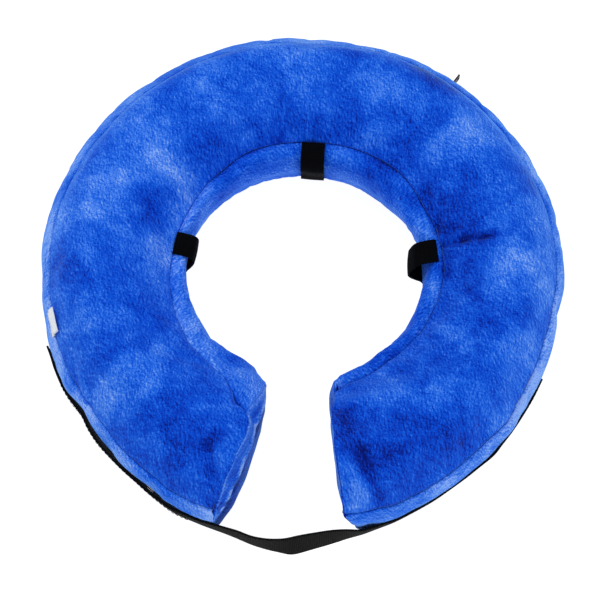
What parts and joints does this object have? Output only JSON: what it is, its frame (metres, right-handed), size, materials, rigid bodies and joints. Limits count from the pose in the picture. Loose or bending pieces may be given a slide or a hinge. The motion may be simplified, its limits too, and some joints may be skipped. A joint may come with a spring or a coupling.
{
  "type": "inflatable ring pet recovery collar",
  "caption": "Inflatable ring recovery collar for a pet: plush zippered cover over an air bladder, open at a gap that a webbing strap closes, with loops for the pet's own collar.",
  "frame": {"origin": "centre of the neck opening, in the plane that the collar's back face rests on", "axes": "+Z along the neck axis, from the back face to the front face; -Y through the gap between the ring's two ends; +X to the right as the front face is seen with the gap at the bottom"},
  "size_m": [0.34, 0.349, 0.08],
  "materials": {
    "plush_cover": "matte",
    "zipper_tape": "matte",
    "zipper_coil": "satin",
    "zipper_metal": "satin",
    "loop_webbing": "matte",
    "strap_webbing": "matte",
    "hook_tape": "matte",
    "pile_tape": "matte",
    "label_tape": "satin",
    "bladder_film": "gloss",
    "valve_plastic": "satin"
  },
  "bodies": {
    "collar": {"front_panel": "plush_cover", "back_panel": "plush_cover", "neck_band": "plush_cover", "outer_band": "plush_cover", "left_end_panel": "plush_cover", "right_end_panel": "plush_cover", "zipper_tape_upper": "zipper_tape", "zipper_tape_lower": "zipper_tape", "zipper_coil_upper": "zipper_coil", "zipper_coil_lower": "zipper_coil", "zipper_top_stops": "zipper_metal", "zipper_bottom_stop": "zipper_metal", "collar_loop_left": "loop_webbing", "collar_loop_top": "loop_webbing", "collar_loop_right": "loop_webbing", "care_label": "label_tape", "strap_anchor": "strap_webbing", "wall_pile_tape": "pile_tape", "bladder_front_film": "bladder_film", "bladder_back_film": "bladder_film", "bladder_outer_wall": "bladder_film", "bladder_inner_wall": "bladder_film", "bladder_end_films": "bladder_film", "valve_base": "valve_plastic", "valve_stem": "valve_plastic"},
    "strap": {"closure_strap": "strap_webbing", "strap_hook_tape": "hook_tape"},
    "slider": {"zipper_slider": "zipper_metal"},
    "pull_tab": {"zipper_pull_tab": "zipper_metal"},
    "valve_plug": {"valve_cap": "valve_plastic"}
  },
  "joints": [
    {"name": "strap_swing", "type": "hinge", "parent": "collar", "child": "strap", "pos_m": [0.03721, -0.16783, 0.0205], "axis": [0, 0, 1], "range_deg": [0, 120]},
    {"name": "zipper_slide", "type": "hinge", "parent": "collar", "child": "slider", "pos_m": [0, 0, 0.031], "axis": [0, 0, 1], "range_deg": [0, 102], "deforming": ["zipper_coil_upper", "zipper_coil_lower"]},
    {"name": "tab_swing", "type": "hinge", "parent": "slider", "child": "pull_tab", "pos_m": [0.10073, 0.13967, 0.031], "axis": [0, 0, 1], "range_deg": [-75, 75]},
    {"name": "valve_plug_pull", "type": "slide", "parent": "collar", "child": "valve_plug", "axis": [-0.2588, 0.9659, 0], "range_m": [0, 0.004]}
  ]
}
